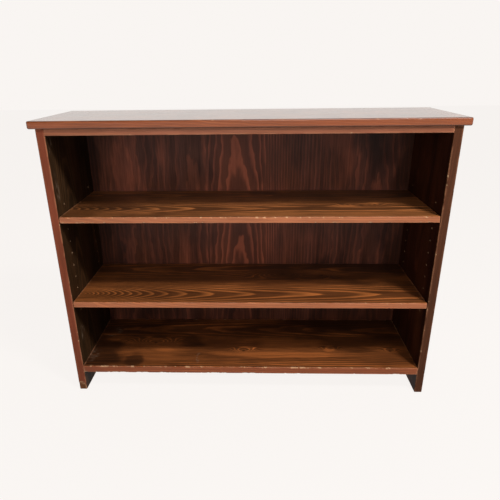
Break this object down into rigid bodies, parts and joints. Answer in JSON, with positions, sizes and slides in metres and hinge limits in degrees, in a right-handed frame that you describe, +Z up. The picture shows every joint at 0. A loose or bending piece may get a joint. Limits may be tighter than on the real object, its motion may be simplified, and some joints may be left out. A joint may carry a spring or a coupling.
{
  "type": "bookcase with adjustable shelves",
  "caption": "Low wide wooden bookcase with an overhanging top, a fixed bottom shelf and loose shelves resting on metal angle supports in drilled rows of holes.",
  "frame": {"origin": "on the floor, at the centre of the outer box's width and depth", "axes": "+X along the width to the right seen from the front, +Y from the front to the back, +Z up"},
  "size_m": [1.22, 0.332, 0.907],
  "materials": {
    "board_wood": "red-brown stained softwood with satin lacquer",
    "panel_wood": "red-brown stained veneer panel with satin lacquer",
    "dowel_wood": "bare beech",
    "steel": "dulled zinc plate"
  },
  "bodies": {
    "carcass": {"top_board": "board_wood", "subtop": "board_wood", "left_side": "board_wood", "right_side": "board_wood", "bottom_shelf": "board_wood", "back_panel": "panel_wood", "subtop_dowels": "dowel_wood", "bottom_shelf_dowels": "dowel_wood", "top_screws": "steel", "back_nails": "steel", "upper_left_front_support": "steel", "upper_left_back_support": "steel", "upper_right_front_support": "steel", "upper_right_back_support": "steel", "lower_left_front_support": "steel", "lower_left_back_support": "steel", "lower_right_front_support": "steel", "lower_right_back_support": "steel"},
    "upper_shelf": {"upper_shelf": "board_wood"},
    "lower_shelf": {"lower_shelf": "board_wood"}
  },
  "joints": [
    {"name": "upper_shelf_lift", "type": "slide", "parent": "carcass", "child": "upper_shelf", "axis": [0, 0, 1], "range_m": [0, 0.235]},
    {"name": "lower_shelf_lift", "type": "slide", "parent": "carcass", "child": "lower_shelf", "axis": [0, 0, 1], "range_m": [0, 0.26]}
  ]
}
